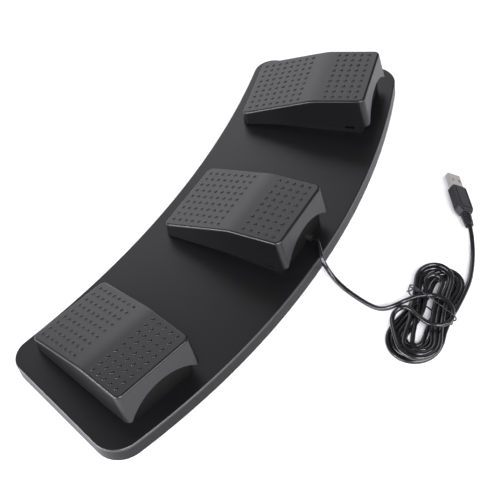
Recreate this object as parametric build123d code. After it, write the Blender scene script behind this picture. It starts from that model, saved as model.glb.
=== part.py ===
from build123d import *
import math
import os

# Triple foot switch: three sprung pedals on one curved board, with a tied lead and a plug.
# Millimetres, +Z up, +Y away from the seated user, +X to the user's right.
# The origin is under the middle of the board's outline, on the floor.

# Board
foot_height = 1.5
board_height = 13.0
board_wall = 3.0
board_skin = 3.0
board_edge_radius = 1.2
outer_arc_radius = 587.5
outer_edge_reach = 15.0
inner_arc_radius = 663.0
inner_edge_reach = 124.5
end_margin = 56.5
end_turn = 15.4
outer_corner_radius = 21.5
inner_corner_radius = 17.0
rib_thickness = 1.6
rib_place = 37.0
long_rib_setback = 30.0
channel_width = 6.0

# Bottom plate, its screws and the feet
plate_thickness = 1.5
plate_gap = 0.3
plate_screw_edge = 9.0
plate_screw_share = 0.59
plate_screw_overreach = 24.0
inner_place_share = 0.9
screw_radius = 1.5
screw_head_radius = 2.8
screw_head_height = 1.4
screw_length = 7.5
screw_gap = 0.05
boss_radius = 3.6
foot_radius = 8.0
foot_edge = 20.0
foot_share = 0.43
foot_overreach = 14.0

# Where the pedals stand: the middle one's toe line is the reference line
side_pedal_x = 162.0
side_pedal_setback = 22.0
side_pedal_turn = 14.5

# Pedal cover
pedal_length = 107.5
heel_height = 12.5
bend_reach = 62.0
bend_height = 32.5
toe_height = 37.5
toe_lean = 4.0
heel_lean = 1.0
leg_height = 11.0
skirt_gap = 0.8
toe_width = 66.0
taper_angle = 0.4
draft_angle = 1.7
cover_wall = 2.4
corner_radius = 5.0
edge_radius = 1.8
bend_radius = 45.0
arch_radius = 41.0
arch_top = 24.5
arch_edge_radius = 0.8

# Pedal base
base_inset = 3.0
base_heel_inset = 5.0
base_toe_inset = 2.0
base_floor = 2.0
base_wall = 2.0
base_heel_height = 6.0
base_toe_height = 21.0
base_draw = 0.8

# Hinge
pin_heel_setback = 11.5
pin_height = 6.5
pin_radius = 2.0
pin_gap = 0.04
pin_overhang = 1.0
lug_radius = 4.0
lug_thickness = 3.0
lug_place = 20.0
lug_gap = 0.8
press_angle = 3.5

# Snap nubs that keep the cover from lifting off
nub_setback = 14.0
nub_length = 4.0
nub_height = 3.0
nub_reach = 2.0
window_gap = 0.3
window_play = 2.0

# Switch and its circuit board
switch_pin_setback = 26.0
switch_side = 12.0
switch_height = 7.3
switch_bore_gap = 0.06
plunger_radius = 3.4
plunger_rise = 2.5
plunger_depth = 3.5
plunger_collar = 0.8
contact_gap = 0.12
board_stand = 3.0
circuit_thickness = 1.6
circuit_width = 34.0
circuit_length = 30.0
post_radius = 3.6
chip_side = 7.0
chip_height = 1.2

# Return spring and stop
spring_setback = 26.0
spring_radius = 6.0
spring_wall = 1.0
spring_guide_radius = 4.6
spring_pin_radius = 3.2
spring_guide_height = 5.0
spring_seat_height = 29.0
stop_setback = 11.0
stop_radius = 4.5
stop_height = 4.0
stop_post_radius = 3.5
stop_gap = 0.3

# Screws under each pedal
pedal_screw_xs = (-24.0, 24.0)
pedal_screw_toe_setback = 38.0
pedal_screw_heel_setback = 19.5
pedal_boss_height = 6.0

# Inner leads
lead_radius = 1.4
lead_hole_gap = 0.6
lead_switch_setback = 8.0
lead_place = 9.0
lead_bend = 3.6

# Cord outlet
outlet_place = -6.0
outlet_height = 6.0
outlet_flange_radius = 3.4
outlet_neck_radius = 2.8
outlet_flange = 1.0
outlet_snout = 4.5
outlet_snout_radius = 2.5

# Cord and hank
cord_radius = 1.75
cord_gap = 0.0
hank_lift = 1.3
hank_pitch = 4.05
hank_layer_rise = 4.05
hank_lanes = 4
lobe_a_radius = 18.9
lobe_b_radius = 19.3
waist_half = 15.5
bow_radius = 90.0
hank_x = 8.0
hank_y = 171.8
hank_turn = 5.0
hank_start_share = 0.75

# Tie: its loop stands in one upright plane across the hank's waist, seen here as reach and height
tie_radius = 0.6
tie_x = 3.9
tie_y = 171.2
tie_turn = 72.0
tie_bend = 2.2
tie_loop_points = [
    (-20.7, 0.62),
    (-20.7, 8.4),
    (-17.0, 10.4),
    (-6.0, 14.5),
    (22.2, 14.5),
    (25.0, 12.6),
    (25.0, 9.6),
    (19.8, 6.0),
    (19.8, 0.62),
]
tie_knot_reach = -12.6
tie_knot_height = 12.9
tie_knot_radius = 1.3
tie_knot_length = 3.6
tie_end_points = [(-2.1, 152.1, 10.6), (4.0, 152.9, 11.4)]

# Plug
plug_roll = 35.0
plug_x = -78.2
plug_y = 167.3
plug_z = 6.8
plug_heading = 217.2
relief_length = 11.7
relief_rear_radius = 3.4
relief_front_radius = 4.2
relief_ring_depth = 0.9
relief_rings = 5
grip_length = 29.0
grip_width = 14.2
grip_height = 7.8
grip_shoulder = 5.0
grip_radius = 1.8
grip_frame_depth = 0.4
shell_length = 14.0
shell_width = 12.0
shell_height = 4.5
shell_wall = 0.35
shell_depth = 6.0
tongue_height = 1.9
tongue_gap = 0.05
contact_width = 1.0
contact_height = 0.2
contact_pitch = 2.3
window_side = 2.3

overrun = 5.0
unit = 1.0

# Derived places
board_top = foot_height + board_height
outer_arc_y = outer_edge_reach - outer_arc_radius
inner_arc_y = -inner_edge_reach - inner_arc_radius
heel_y = -pedal_length
bend_y = bend_reach - pedal_length
pin_setback = pedal_length - pin_heel_setback
switch_setback = pin_setback - switch_pin_setback
lead_setback = switch_setback - lead_switch_setback
pedal_screw_setbacks = (pedal_screw_toe_setback, pedal_length - pedal_screw_heel_setback)
end_distance = side_pedal_x + end_margin
plate_screw_xs = (0.0, side_pedal_x * plate_screw_share, side_pedal_x + plate_screw_overreach)
foot_xs = (side_pedal_x * foot_share, side_pedal_x + foot_overreach)


def box_between(low, high):
    """An axis-aligned box from its low corner to its high corner."""
    size = [b - a for a, b in zip(low, high)]
    middle = [(a + b) / 2 for a, b in zip(low, high)]
    return Pos(*middle) * Box(*size)


def rod(radius, start, end):
    """A round bar between two points."""
    axis = Vector(*end) - Vector(*start)
    return extrude(Plane(origin=start, z_dir=axis) * Circle(radius), axis.length)


def board_outline(inset):
    """The curved outline of the board, drawn in by an inset, with its four round corners."""
    turn = math.radians(end_turn)
    reach = 2 * outer_corner_radius

    def end_x(y):
        return (end_distance - inset + y * math.sin(turn)) / math.cos(turn)

    top_y = outer_edge_reach + reach
    low_y = -inner_edge_reach - 2 * reach
    wedge = Polygon(
        (-end_x(top_y), top_y),
        (end_x(top_y), top_y),
        (end_x(low_y), low_y),
        (-end_x(low_y), low_y),
        align=None,
    )
    sketch = Pos(0, outer_arc_y) * Circle(outer_arc_radius - inset)
    sketch = sketch & wedge
    sketch = sketch - Pos(0, inner_arc_y) * Circle(inner_arc_radius + inset)
    corners = sketch.vertices().sort_by(Axis.Y)
    sketch = fillet(corners[:2], inner_corner_radius - inset)
    corners = sketch.vertices().sort_by(Axis.Y)[-4:]
    sharp = [v for v in corners if abs(v.X) > side_pedal_x]
    outer = sorted(sharp, key=lambda v: -v.Y)[:2]
    return fillet(outer, outer_corner_radius - inset)


outline_box = board_outline(0).bounding_box()
shift_y = -outline_box.center().Y

# Each pedal's frame: origin on the board's top under its toe line, +Y from heel to toe
pedal_frames = {
    "left": Pos(-side_pedal_x, shift_y - side_pedal_setback, board_top) * Rot(0, 0, side_pedal_turn),
    "middle": Pos(0, shift_y, board_top),
    "right": Pos(side_pedal_x, shift_y - side_pedal_setback, board_top) * Rot(0, 0, -side_pedal_turn),
}


def edge_points(xs, edge, height):
    """Points along both long edges of the board, a distance in from each edge."""
    points = []
    for x in xs:
        for side in ((1,) if x == 0 else (-1, 1)):
            outer_r = outer_arc_radius - edge
            inner_r = inner_arc_radius + edge
            y_out = outer_arc_y + math.sqrt(outer_r**2 - x**2)
            x_in = x * inner_place_share
            y_in = inner_arc_y + math.sqrt(inner_r**2 - x_in**2)
            points.append((side * x, y_out + shift_y, height))
            points.append((side * x_in, y_in + shift_y, height))
    return points


plate_screw_points = edge_points(plate_screw_xs, plate_screw_edge, foot_height)
foot_points = edge_points(foot_xs, foot_edge, 0)
pedal_screw_points = [
    frame * Pos(x, -setback, 0)
    for frame in pedal_frames.values()
    for x in pedal_screw_xs
    for setback in pedal_screw_setbacks
]


def lead_route(side):
    """The inner lead from a side pedal to the middle one: up into each base,
    along under the board's skin."""
    low = board_top - board_skin - lead_radius - lead_hole_gap
    top = board_top + base_floor + board_stand
    frame = pedal_frames["right" if side > 0 else "left"]
    outer = (frame * Pos(0, -lead_setback, 0)).position
    inner_x = side * lead_place
    inner_y = shift_y - lead_setback
    middle_x = (outer.X + inner_x) / 2
    middle_y = (outer.Y + inner_y) / 2 + lead_place
    return [
        (outer.X, outer.Y, top),
        (outer.X, outer.Y, low),
        (middle_x, middle_y, low),
        (inner_x, inner_y, low),
        (inner_x, inner_y, top),
    ]


def tube(points, radius, radii, name):
    """A round tube along straight runs joined by tangent arcs; its volume is compared with its length."""
    path = FilletPolyline(*points, radius=radii)
    wire = Wire(path.edges())
    start = wire.position_at(0)
    section = Plane(origin=start, z_dir=wire.tangent_at(0)) * Circle(radius)
    solid = sweep(section, path=wire)
    share = solid.volume / (math.pi * radius**2 * wire.length)
    print(
        name, "length", round(wire.length, 1), "radii", [round(r, 1) for r in radii],
        "volume share", round(share, 4),
    )
    return solid


def build_board():
    """Moulded tray: skin and walls with a rounded top edge, open below, stiffened by ribs,
    with screw bosses."""
    place = Pos(0, shift_y, foot_height)
    shell = extrude(place * board_outline(0), board_height)
    top_edges = shell.faces().sort_by(Axis.Z)[-1].edges()
    shell = fillet(top_edges, board_edge_radius)
    depth = board_height - board_skin
    hollow = extrude(place * board_outline(board_wall), depth)
    rib_base = foot_height + plate_thickness + plate_gap
    rib_top = foot_height + depth + rib_thickness / 2
    ribs = []
    for frame in pedal_frames.values():
        for side in (-1, 1):
            x = side * rib_place
            low = (x - rib_thickness / 2, -2 * pedal_length, rib_base - board_top)
            high = (x + rib_thickness / 2, pedal_length, rib_top - board_top)
            ribs.append(frame * box_between(low, high))
    ring_radius = outer_arc_radius - long_rib_setback
    ring = Circle(ring_radius) - Circle(ring_radius - rib_thickness)
    ribs.append(extrude(Pos(0, outer_arc_y + shift_y, rib_base) * ring, rib_top - rib_base))
    for x, y, z in plate_screw_points:
        ribs.append(rod(boss_radius, (x, y, rib_base), (x, y, rib_top)))
    inside = ribs[0]
    for rib in ribs[1:]:
        inside = inside + rib
    room = extrude(place * board_outline(board_wall / 2), depth + rib_thickness / 2)
    inside = inside & room
    channel_low = board_top - board_skin - 2 * lead_radius - 2 * lead_hole_gap
    board = shell - hollow + inside
    for side in (-1, 1):
        route = lead_route(side)
        for start, end in zip(route[1:3], route[2:4]):
            run = Vector(*end) - Vector(*start)
            angle = math.degrees(math.atan2(run.Y, run.X))
            middle = (Vector(*start) + Vector(*end)) * 0.5
            slot = Box(run.length + channel_width, channel_width, board_top - board_skin - channel_low)
            slot_z = (board_top - board_skin + channel_low) / 2
            board = board - Pos(middle.X, middle.Y, slot_z) * Rot(0, 0, angle) * slot
        for x, y in ((route[0][0], route[0][1]), (route[-1][0], route[-1][1])):
            board = board - rod(
                lead_radius + lead_hole_gap, (x, y, channel_low), (x, y, board_top + overrun)
            )
    for spot in pedal_screw_points:
        x, y = spot.position.X, spot.position.Y
        board = board - rod(screw_radius + screw_gap, (x, y, foot_height), (x, y, board_top + overrun))
    for x, y, z in plate_screw_points:
        board = board - rod(
            screw_radius + screw_gap, (x, y, 0), (x, y, foot_height + screw_length + plate_gap)
        )
    return board


def countersunk(height_gap, radius_gap):
    """A flat-headed screw pointing up, its head's face at z = 0, grown by the gaps
    for the hole it sits in."""
    head = screw_head_radius + radius_gap
    shank = screw_radius + radius_gap
    length = screw_length + height_gap
    profile = Polygon(
        (0, 0), (head, 0), (shank, screw_head_height), (shank, length), (0, length), align=None
    )
    return revolve(Plane.XZ * profile, Axis.Z)


def build_bottom_plate():
    """Sheet steel plate let into the tray's underside, with countersunk holes."""
    plate = extrude(Pos(0, shift_y, foot_height) * board_outline(board_wall + plate_gap), plate_thickness)
    for point in plate_screw_points:
        plate = plate - Pos(*point) * countersunk(screw_gap, screw_gap)
    return plate


def build_plate_screws():
    """Flat-headed screws that hold the bottom plate."""
    return [Pos(*point) * countersunk(0, 0) for point in plate_screw_points]


def build_rubber_feet():
    """Low round feet stuck under the bottom plate."""
    feet = []
    for x, y, z in foot_points:
        foot = rod(foot_radius, (x, y, 0), (x, y, foot_height))
        feet.append(chamfer(foot.edges().sort_by(Axis.Z)[0], foot_height / 3))
    return feet


def cover_profile(inset):
    """The cover's side outline, heel to toe, run on below the skirt."""
    low = -overrun
    toe_slope = toe_lean / (toe_height - leg_height)
    heel_slope = heel_lean / (heel_height - skirt_gap)
    points = [
        (heel_y - heel_slope * (heel_height - low), low),
        (heel_y, heel_height),
        (bend_y, bend_height),
        (0, toe_height),
        (toe_slope * (toe_height - low), low),
    ]
    face = make_face(Polyline(*points, close=True))
    if inset:
        face = offset(face, amount=-inset, kind=Kind.INTERSECTION)
    return face


def cover_form(inset):
    """The cover's solid form: side outline across, cut by the drafted and tapered side
    planes, corners rounded."""
    form = extrude(Plane.YZ * cover_profile(inset), toe_width, both=True)
    taper = math.tan(math.radians(taper_angle))
    draft = math.tan(math.radians(draft_angle))
    for side in (-1, 1):
        origin = (side * (toe_width / 2 - inset), 0, toe_height)
        form = split(form, Plane(origin=origin, z_dir=(side, taper, draft)), keep=Keep.BOTTOM)
    upright = [e for e in form.edges() if abs(e.tangent_at(0).Z) > math.cos(math.radians(end_turn * 2))]
    form = fillet(upright, corner_radius - inset)
    bend = [
        e
        for e in form.edges()
        if abs(e.tangent_at(0.5).X) > math.cos(math.radians(draft_angle))
        and abs(e.center().Y - bend_y) < corner_radius
    ]
    return fillet([e for e in bend if e.center().Z > base_toe_height], bend_radius - inset)


def skirt_cut():
    """All that lies below the skirt's edge, which rises from the heel to the legs."""
    slope = (leg_height - skirt_gap) / (pedal_length + heel_lean + toe_lean)
    far = toe_width
    low_y = heel_y - far
    high_y = far
    points = [
        (low_y, -far),
        (low_y, skirt_gap + slope * (low_y - heel_y + heel_lean)),
        (high_y, skirt_gap + slope * (high_y - heel_y + heel_lean)),
        (high_y, -far),
    ]
    return extrude(Plane.YZ * make_face(Polyline(*points, close=True)), far, both=True)


def build_cover():
    """Moulded cover: thin shell with a bent tread, arched toe wall, hinge ears, posts
    and snap nubs inside."""
    outer = cover_form(0)
    tread = [f for f in outer.faces() if f.normal_at(f.center()).Z > math.cos(math.radians(end_turn * 2))]
    inner_edges = [e for f in tread for e in f.edges()]
    rim = [e for e in inner_edges if sum(1 for other in inner_edges if other.center() == e.center()) == 1]
    outer = fillet(rim, edge_radius)
    inner = cover_form(cover_wall)
    cover = outer - inner

    meet = cover_form(cover_wall / 2)
    lug_low = lug_place + lug_thickness + lug_gap
    inside = []
    for side in (-1, 1):
        x_low, x_high = sorted((side * lug_low, side * (lug_low + lug_thickness)))
        plate = box_between(
            (x_low, -pin_setback - lug_radius, pin_height),
            (x_high, -pin_setback + lug_radius, bend_height),
        )
        ear = plate + rod(lug_radius, (x_low, -pin_setback, pin_height), (x_high, -pin_setback, pin_height))
        inside.append(ear)
        nub_side = toe_width / 2 - cover_wall
        x_low, x_high = sorted((side * (nub_side - nub_reach), side * (nub_side + cover_wall / 2)))
        nub_top = window_top() - window_gap
        nub_y = -nub_setback
        inside.append(
            box_between(
                (x_low, nub_y - nub_length / 2, nub_top - nub_height),
                (x_high, nub_y + nub_length / 2, nub_top),
            )
        )
    post_low = plunger_top() + contact_gap
    inside.append(rod(post_radius, (0, -switch_setback, post_low), (0, -switch_setback, bend_height)))
    boss_low = spring_seat_height
    inside.append(rod(spring_radius, (0, -spring_setback, boss_low), (0, -spring_setback, toe_height)))
    pin_low = boss_low - spring_guide_height
    inside.append(rod(spring_pin_radius, (0, -spring_setback, pin_low), (0, -spring_setback, toe_height)))
    drop = (pin_setback - stop_setback) * math.sin(math.radians(press_angle))
    stop_low = base_floor + stop_height + drop + stop_gap
    inside.append(rod(stop_post_radius, (0, -stop_setback, stop_low), (0, -stop_setback, toe_height)))
    for piece in inside:
        cover = cover + (piece & meet)
    pin_span = lug_low + lug_thickness + overrun
    cover = cover - rod(
        pin_radius + pin_gap, (-pin_span, -pin_setback, pin_height), (pin_span, -pin_setback, pin_height)
    )
    arch_z = arch_top - arch_radius
    arch = rod(arch_radius, (0, -overrun, arch_z), (0, toe_lean + overrun, arch_z))
    return cover - skirt_cut() - arch


def window_top():
    """The top of the snap windows in the base's side walls."""
    drop = (pin_setback - nub_setback) * math.sin(math.radians(press_angle))
    return base_floor + window_play + drop + nub_height + window_gap


def plunger_top():
    """The top of the switch plunger at rest."""
    return base_floor + board_stand + circuit_thickness + switch_height + plunger_rise


def base_outline(inset):
    """The base's plan: a rounded oblong inside the cover."""
    half = toe_width / 2 - base_inset + base_draw / 2 - inset
    low = heel_y + base_heel_inset + inset
    high = -base_toe_inset - inset
    sketch = Pos(0, (low + high) / 2) * RectangleRounded(
        2 * half, high - low, corner_radius - base_draw - inset / 2
    )
    return sketch


def build_base(name):
    """Moulded base tray with sloping walls, hinge lugs, snap windows, screw bosses and a spring guide."""
    tall = extrude(base_outline(0), base_toe_height)
    low = heel_y + base_heel_inset
    side_profile = make_face(
        Polyline(
            (low - overrun, 0),
            (low - overrun, base_heel_height),
            (low + overrun, base_heel_height),
            (-base_toe_inset - overrun, base_toe_height),
            (overrun, base_toe_height),
            (overrun, 0),
            close=True,
        )
    )
    walls = tall & extrude(Plane.YZ * side_profile, toe_width, both=True)
    hollow = extrude(Pos(0, 0, base_floor) * base_outline(base_wall), base_toe_height)
    base = walls - hollow
    for side in (-1, 1):
        x_low, x_high = sorted((side * lug_place, side * (lug_place + lug_thickness)))
        plate = box_between(
            (x_low, -pin_setback - lug_radius, 0), (x_high, -pin_setback + lug_radius, pin_height)
        )
        base = base + plate + rod(
            lug_radius, (x_low, -pin_setback, pin_height), (x_high, -pin_setback, pin_height)
        )
        edge = toe_width / 2
        x_low, x_high = sorted((side * (edge - base_inset - base_wall - overrun), side * edge))
        window = box_between(
            (x_low, -nub_setback - nub_length / 2 - window_play, base_floor + window_play / 2),
            (x_high, -nub_setback + nub_length / 2 + window_play, window_top()),
        )
        base = base - window
    span = lug_place + lug_thickness + overrun
    base = base - rod(pin_radius, (-span, -pin_setback, pin_height), (span, -pin_setback, pin_height))
    base = base + rod(
        spring_guide_radius,
        (0, -spring_setback, 0),
        (0, -spring_setback, base_floor + spring_guide_height),
    )
    for x in pedal_screw_xs:
        for setback in pedal_screw_setbacks:
            base = base + rod(boss_radius, (x, -setback, 0), (x, -setback, pedal_boss_height))
            base = base - rod(
                screw_radius, (x, -setback, -overrun), (x, -setback, screw_length - board_skin + screw_gap)
            )
    stand_x = circuit_width / 2 - boss_radius / 2
    stand_y = circuit_length / 2 - boss_radius / 2
    for side in (-1, 1):
        for end in (-1, 1):
            x = side * stand_x
            y = -switch_setback + end * stand_y
            base = base + rod(boss_radius / 2, (x, y, 0), (x, y, base_floor + board_stand))
    lead_xs = (-lead_place, lead_place) if name == "middle" else (0.0,)
    for x in lead_xs:
        base = base - rod(
            lead_radius + lead_hole_gap, (x, -lead_setback, -overrun), (x, -lead_setback, board_stand)
        )
    if name == "middle":
        base = base - rod(
            outlet_neck_radius,
            (outlet_place, -base_toe_inset - overrun, outlet_height),
            (outlet_place, overrun, outlet_height),
        )
    return base


def build_pin():
    """Steel hinge pin through the base's lugs and the cover's ears."""
    half = lug_place + 2 * lug_thickness + lug_gap + pin_overhang
    pin = rod(pin_radius, (-half, -pin_setback, pin_height), (half, -pin_setback, pin_height))
    return chamfer(pin.edges().filter_by(GeomType.CIRCLE), pin_radius / 4)


def build_spring():
    """Return spring round the base's guide, drawn as its sleeve."""
    foot = (0, -spring_setback, base_floor)
    head = (0, -spring_setback, spring_seat_height)
    return rod(spring_radius, foot, head) - rod(spring_radius - spring_wall, foot, head)


def build_circuit(name):
    """Circuit board on the base's stands; the middle one carries the controller chips."""
    z = base_floor + board_stand
    half = circuit_width / 2
    low_y = -switch_setback - circuit_length / 2
    high_y = -switch_setback + circuit_length / 2
    board = box_between((-half, low_y, z), (half, high_y, z + circuit_thickness))
    if name == "middle":
        chip_x = (half + switch_side / 2) / 2
        for side in (-1, 1):
            x = side * chip_x
            chip = box_between(
                (x - chip_side / 2, low_y + circuit_thickness, z),
                (
                    x + chip_side / 2,
                    low_y + circuit_thickness + chip_side,
                    z + circuit_thickness + chip_height,
                ),
            )
            board = board + chip
    return board


def build_switch_body():
    """Square push switch body with the bore its plunger slides in."""
    z = base_floor + board_stand + circuit_thickness
    half = switch_side / 2
    body = box_between(
        (-half, -switch_setback - half, z), (half, -switch_setback + half, z + switch_height)
    )
    body = chamfer(body.edges().filter_by(Axis.Z), plunger_collar)
    bore_low = z + switch_height - plunger_depth - plunger_rise
    top = z + switch_height + overrun
    return body - rod(
        plunger_radius + switch_bore_gap, (0, -switch_setback, bore_low), (0, -switch_setback, top)
    )


def build_plunger():
    """Round plunger that the cover's post presses."""
    top = plunger_top()
    low = top - plunger_rise - plunger_depth
    plunger = rod(plunger_radius, (0, -switch_setback, low), (0, -switch_setback, top))
    return chamfer(plunger.edges().sort_by(Axis.Z)[-1], plunger_collar / 2)


def build_stop_pad():
    """Rubber pad that the cover's toe post meets at full travel."""
    pad = rod(stop_radius, (0, -stop_setback, base_floor), (0, -stop_setback, base_floor + stop_height))
    return fillet(pad.edges().sort_by(Axis.Z)[-1], stop_gap)


def build_pedal_screws():
    """Screws from under the board's skin up into the bases' bosses."""
    screws = []
    for spot in pedal_screw_points:
        x, y = spot.position.X, spot.position.Y
        under = board_top - board_skin
        head = rod(screw_head_radius, (x, y, under - screw_head_height), (x, y, under))
        screws.append(head + rod(screw_radius, (x, y, under), (x, y, under + screw_length)))
    return screws


def build_inner_lead(side, name):
    """Inner lead from a side pedal's circuit board to the middle one."""
    points = lead_route(side)
    gentle = 2 * lead_bend
    return tube(points, lead_radius, [lead_bend, gentle, lead_bend], name)


def build_outlet():
    """Grommet in the middle base's toe wall: two flanges, a neck in the wall and a tapered snout."""
    inner = -base_toe_inset - base_wall - outlet_flange
    wall_in = -base_toe_inset - base_wall
    wall_out = -base_toe_inset
    mouth = wall_out + outlet_flange + outlet_snout
    profile = Polygon(
        (0, inner),
        (outlet_flange_radius, inner),
        (outlet_flange_radius, wall_in),
        (outlet_neck_radius, wall_in),
        (outlet_neck_radius, wall_out),
        (outlet_flange_radius, wall_out),
        (outlet_flange_radius, wall_out + outlet_flange),
        (outlet_snout_radius + outlet_flange / 2, wall_out + outlet_flange),
        (outlet_snout_radius, mouth),
        (0, mouth),
        align=None,
    )
    return Pos(outlet_place, 0, outlet_height) * revolve(profile, Axis.Y)


outlet_mouth_y = shift_y - base_toe_inset + outlet_flange + outlet_snout

# Free stretch from the outlet over the board's edge, along the floor and round on top of the hank
cord_lead_points = [
    (outlet_place, outlet_mouth_y, board_top + outlet_height),
    (outlet_place, outlet_mouth_y + 2 * cord_radius, board_top + outlet_height),
    (-3.4, 76.2, 20.9),
    (1.2, 79.6, 21.0),
    (5.8, 83.4, 19.8),
    (9.0, 87.4, 15.4),
    (10.0, 91.2, 10.2),
    (11.6, 96.4, 6.0),
    (14.2, 104.4, 3.2),
    (17.0, 114.4, 2.1),
    (19.8, 126.0, 2.0),
    (21.1, 136.0, 2.3),
    (20.6, 144.5, 4.8),
    (19.8, 150.6, 9.0),
    (18.8, 156.6, 11.8),
    (18.0, 163.0, 12.0),
    (19.8, 170.0, 11.4),
    (23.2, 177.0, 11.2),
    (23.6, 184.0, 11.2),
    (20.3, 189.6, 11.2),
    (14.6, 192.4, 11.2),
    (8.0, 191.6, 11.2),
    (2.6, 187.2, 11.2),
    (-0.6, 181.4, 11.2),
    (-2.0, 174.8, 11.2),
    (-0.6, 168.4, 11.2),
    (3.2, 163.2, 11.3),
    (7.8, 159.2, 11.2),
    (12.0, 156.2, 9.0),
    (17.0, 156.0, 7.2),
]

# Free stretch from the hank to the plug
cord_tail_points = [
    (-24.0, 188.6, 3.05),
    (-32.6, 187.2, 2.6),
    (-42.0, 184.6, 2.2),
    (-52.0, 181.2, 2.2),
    (-62.0, 177.0, 3.0),
]


def arc_radii(points):
    """The largest arc that each corner's two runs allow, 0.45 of the shorter run over
    the half turn's tangent."""
    radii = []
    for before, corner, after in zip(points, points[1:], points[2:]):
        first = Vector(*corner) - Vector(*before)
        second = Vector(*after) - Vector(*corner)
        half_turn = math.radians(first.get_angle(second)) / 2
        run_share = 0.45
        radii.append(run_share * min(first.length, second.length) / math.tan(half_turn))
    return radii


def hank_point(s, t, z):
    """A point of the hank's own plan, waist at its middle, placed on the floor."""
    angle = math.radians(hank_turn)
    x = hank_x + s * math.cos(angle) - t * math.sin(angle)
    y = hank_y + s * math.sin(angle) + t * math.cos(angle)
    return Vector(x, y, z)


bow_middle = bow_radius + waist_half
lobe_a_s = -math.sqrt((lobe_a_radius + bow_radius) ** 2 - bow_middle**2)
lobe_b_s = math.sqrt((lobe_b_radius + bow_radius) ** 2 - bow_middle**2)


def shifted_lobe(centre_s, radius, bow_start, bow_end, start_side):
    """Centre of the end turn that leads from one bow to the other when they differ by a lane."""
    reach_start = radius + bow_start
    reach_end = radius + bow_end
    t = start_side * (reach_end**2 - reach_start**2) / (4 * bow_middle)
    s = math.sqrt(reach_start**2 - (t - start_side * bow_middle) ** 2)
    return (math.copysign(s, centre_s), t)


def tangent_point(centre, radius, side):
    """Where an end turn meets the bow on one side of the hank."""
    dx = -centre[0]
    dy = side * bow_middle - centre[1]
    length = math.hypot(dx, dy)
    return (centre[0] + radius * dx / length, centre[1] + radius * dy / length)


def hank_edges():
    """The hank's line: four lanes spiral in below, one climb along a run, then the lanes
    spiral out above."""
    low_z = hank_lift + cord_radius
    high_z = low_z + hank_layer_rise
    turns = []
    for lane in range(hank_lanes):
        turns.append(("a" if lane else "start", lane - 1, lane, low_z))
        turns.append(("b", lane, lane, low_z))
    turns.append(("a", hank_lanes - 1, hank_lanes - 1, high_z))
    for lane in range(hank_lanes - 1, 0, -1):
        turns.append(("b", lane, lane - 1, high_z))
        turns.append(("a", lane - 1, lane - 1, high_z))
    turns.pop()
    edges = []
    point = None
    for kind, lane_in, lane_out, z in turns:
        end_b = kind == "b"
        side_in = 1 if end_b else -1
        in_drop = max(lane_in, 0) * hank_pitch
        out_drop = lane_out * hank_pitch
        full = lobe_b_radius if end_b else lobe_a_radius
        centre_s = lobe_b_s if end_b else lobe_a_s
        if kind == "start":
            in_drop = out_drop
        radius = full - (in_drop + out_drop) / 2
        centre = shifted_lobe(centre_s, radius, bow_radius + in_drop, bow_radius + out_drop, side_in)
        arrive = tangent_point(centre, radius, side_in)
        leave = tangent_point(centre, radius, -side_in)
        outward = math.copysign(radius, centre_s)
        if kind == "start":
            s = leave[0] * hank_start_share
            drop = math.sqrt(bow_radius**2 - s**2)
            point = hank_point(s, bow_middle - drop, z)
            direction = (hank_point(s + drop, bow_middle - drop + s, z) - point).normalized()
            edges.append(Edge.make_line(point - direction * (2 * cord_radius), point))
            continue
        goal = hank_point(*arrive, z)
        spoke = (goal - hank_point(*centre, z)).normalized()
        goal_direction = Vector(spoke.Y, -spoke.X, 0)
        edges += biarc(point, direction, goal, goal_direction)
        tip = hank_point(centre[0] + outward, centre[1], z)
        for start, end in ((goal, tip), (tip, hank_point(*leave, z))):
            spoke = (start - hank_point(*centre, z)).normalized()
            edges.append(Edge.make_tangent_arc(start, Vector(spoke.Y, -spoke.X, 0), end))
        point = hank_point(*leave, z)
        spoke = (point - hank_point(*centre, z)).normalized()
        direction = Vector(spoke.Y, -spoke.X, 0)
    edges.append(Edge.make_line(point, point + direction * (2 * cord_radius)))
    return edges


def biarc(start, start_direction, end, end_direction):
    """Two tangent arcs between two points with given directions."""
    chord = end - start
    both = start_direction + end_direction
    spread = 2 * (1 - start_direction.dot(end_direction))
    reach = chord.dot(both)
    root = math.sqrt(reach**2 + spread * chord.dot(chord))
    arm = chord.dot(chord) / (reach + root)
    joint = (start + start_direction * arm + end - end_direction * arm) * 0.5
    first = Edge.make_tangent_arc(start, start_direction, joint)
    second = Edge.make_tangent_arc(joint, first.tangent_at(1), end)
    return [first, second]


def least_self_gap(wire, radius):
    """Least gap between stretches of a wound tube that aren't neighbours along it, measured on points."""
    step = radius / 2
    count = int(wire.length / step)
    points = [wire.position_at(i / count) for i in range(count + 1)]
    skip = int(math.pi * 2 * radius / step)
    least = math.inf
    for i, first in enumerate(points):
        for second in points[i + skip :]:
            dx = first.X - second.X
            if abs(dx) < 4 * radius:
                least = min(least, math.hypot(dx, first.Y - second.Y, first.Z - second.Z))
    return least - 2 * radius


hank_line = hank_edges()
hank_wire = Wire(hank_line)
hank_start = hank_wire.position_at(0)
hank_start_direction = hank_wire.tangent_at(0)
hank_end = hank_wire.position_at(1)
hank_end_direction = hank_wire.tangent_at(1)


def build_hank():
    """The tied hank as one unbroken tube."""
    section = Plane(origin=hank_start, z_dir=hank_start_direction) * Circle(cord_radius)
    solid = sweep(section, path=hank_wire)
    share = solid.volume / (math.pi * cord_radius**2 * hank_wire.length)
    gap = least_self_gap(hank_wire, cord_radius)
    print(
        "cord_hank length", round(hank_wire.length, 1), "volume share", round(share, 4),
        "least gap", round(gap, 3),
    )
    return solid


def lead_points():
    """The lead's hand-chosen points with its last run square to the hank's end."""
    square = hank_end + hank_end_direction * (3 * cord_radius)
    return cord_lead_points + [tuple(square), tuple(hank_end)]


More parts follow.
